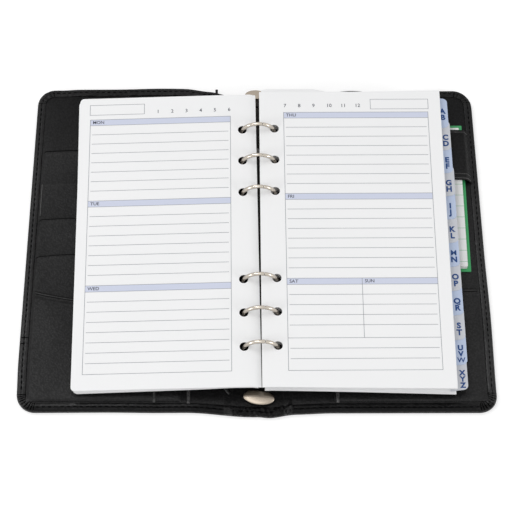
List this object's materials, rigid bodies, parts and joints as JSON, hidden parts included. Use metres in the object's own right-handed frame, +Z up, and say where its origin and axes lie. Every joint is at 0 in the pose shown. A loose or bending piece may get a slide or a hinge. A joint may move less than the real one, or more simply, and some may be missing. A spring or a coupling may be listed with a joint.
{
  "type": "personal organizer",
  "caption": "Ring-bound personal organizer lying open: leather cover with pockets, spring-clip ring mechanism, weekly pages, alphabet index tabs and a notepad under a leather band.",
  "frame": {"origin": "underside of the spine at its middle, on the surface the organizer lies on", "axes": "+X across the open covers to the right, +Y towards the head of the pages, +Z up"},
  "size_m": [0.238, 0.1922, 0.0234],
  "materials": {
    "outer_leather": "satin",
    "lining_leather": "satin",
    "cover_board": "matte",
    "nickel_plate": "polished",
    "steel_plate": "satin",
    "page_paper": "matte",
    "pad_paper": "matte",
    "pad_card": "matte",
    "blue_tab": "matte",
    "grey_tab": "matte"
  },
  "bodies": {
    "spine": {"spine_skin": "outer_leather", "spine_board": "cover_board", "spine_lining": "lining_leather", "ring_casing": "nickel_plate", "head_rivet": "steel_plate", "foot_rivet": "steel_plate"},
    "front_cover": {"front_skin": "outer_leather", "front_board": "cover_board", "front_lining": "lining_leather", "front_lower_pocket": "lining_leather", "front_card_pocket_1": "lining_leather", "front_card_pocket_2": "lining_leather", "front_card_pocket_3": "lining_leather", "front_card_pocket_4": "lining_leather"},
    "back_cover": {"back_skin": "outer_leather", "back_board": "cover_board", "back_lining": "lining_leather", "back_lower_pocket": "lining_leather", "pad_band": "lining_leather"},
    "notepad": {"pad_card": "pad_card", "pad_sheets": "pad_paper"},
    "left_pages": {"left_top_leaf": "page_paper", "left_leaves": "page_paper"},
    "right_pages": {"right_leaves": "page_paper"},
    "turning_leaf": {"right_top_leaf": "page_paper"},
    "index_pages": {"index_leaf_ab": "blue_tab", "index_leaf_cd": "grey_tab", "index_leaf_ef": "blue_tab", "index_leaf_gh": "grey_tab", "index_leaf_ij": "blue_tab", "index_leaf_kl": "grey_tab", "index_leaf_mn": "blue_tab", "index_leaf_op": "grey_tab", "index_leaf_qr": "blue_tab", "index_leaf_st": "grey_tab", "index_leaf_uvw": "blue_tab", "index_leaf_xyz": "grey_tab"},
    "rear_pages": {"rear_leaves": "page_paper"},
    "left_ring_bar": {"left_carrier": "steel_plate", "left_ring_1": "nickel_plate", "left_ring_2": "nickel_plate", "left_ring_3": "nickel_plate", "left_ring_4": "nickel_plate", "left_ring_5": "nickel_plate", "left_ring_6": "nickel_plate"},
    "right_ring_bar": {"right_carrier": "steel_plate", "right_ring_1": "nickel_plate", "right_ring_2": "nickel_plate", "right_ring_3": "nickel_plate", "right_ring_4": "nickel_plate", "right_ring_5": "nickel_plate", "right_ring_6": "nickel_plate"},
    "head_lever": {"head_lever": "nickel_plate"},
    "foot_lever": {"foot_lever": "nickel_plate"}
  },
  "joints": [
    {"name": "front_cover_fold", "type": "hinge", "parent": "spine", "child": "front_cover", "pos_m": [-0.0167, 0, 0.0034], "axis": [0, 1, 0], "range_deg": [0, 90]},
    {"name": "back_cover_fold", "type": "hinge", "parent": "spine", "child": "back_cover", "pos_m": [0.0133, 0, 0.0034], "axis": [0, -1, 0], "range_deg": [0, 90]},
    {"name": "left_pages_turn", "type": "hinge", "parent": "spine", "child": "left_pages", "pos_m": [-0.0024, 0, 0.0149], "axis": [0, 1, 0], "range_deg": [0, 90]},
    {"name": "right_pages_turn", "type": "hinge", "parent": "spine", "child": "right_pages", "pos_m": [0.0028, 0, 0.0149], "axis": [0, -1, 0], "range_deg": [0, 90]},
    {"name": "index_pages_turn", "type": "hinge", "parent": "spine", "child": "index_pages", "pos_m": [0.00305, 0, 0.0147], "axis": [0, -1, 0], "range_deg": [0, 90]},
    {"name": "rear_pages_turn", "type": "hinge", "parent": "spine", "child": "rear_pages", "pos_m": [0.004, 0, 0.0138], "axis": [0, -1, 0], "range_deg": [0, 90]},
    {"name": "leaf_turn", "type": "hinge", "parent": "right_pages", "child": "turning_leaf", "pos_m": [0.0018, 0, 0.0153], "axis": [0, 1, 0], "range_deg": [-80, 0]},
    {"name": "left_rings_open", "type": "hinge", "parent": "spine", "child": "left_ring_bar", "pos_m": [-0.0061, 0, 0.005], "axis": [0, 1, 0], "range_deg": [-10, 0]},
    {"name": "right_rings_open", "type": "hinge", "parent": "spine", "child": "right_ring_bar", "pos_m": [0.0061, 0, 0.005], "axis": [0, -1, 0], "range_deg": [-10, 0]},
    {"name": "head_lever_press", "type": "hinge", "parent": "spine", "child": "head_lever", "pos_m": [0, 0.0808, 0.0052], "axis": [1, 0, 0], "range_deg": [-7, 0]},
    {"name": "foot_lever_press", "type": "hinge", "parent": "spine", "child": "foot_lever", "pos_m": [0, -0.0808, 0.0052], "axis": [-1, 0, 0], "range_deg": [-7, 0]},
    {"name": "notepad_slide", "type": "slide", "parent": "back_cover", "child": "notepad", "axis": [0, 1, 0], "range_m": [0, 0.016]}
  ],
  "couplings": [
    {"joint": "left_pages_turn", "follows": "front_cover_fold", "ratio": 1},
    {"joint": "right_pages_turn", "follows": "back_cover_fold", "ratio": 1},
    {"joint": "index_pages_turn", "follows": "back_cover_fold", "ratio": 1},
    {"joint": "rear_pages_turn", "follows": "back_cover_fold", "ratio": 1},
    {"joint": "right_rings_open", "follows": "left_rings_open", "ratio": 1},
    {"joint": "head_lever_press", "follows": "left_rings_open", "ratio": 0.7},
    {"joint": "foot_lever_press", "follows": "left_rings_open", "ratio": 0.7}
  ]
}
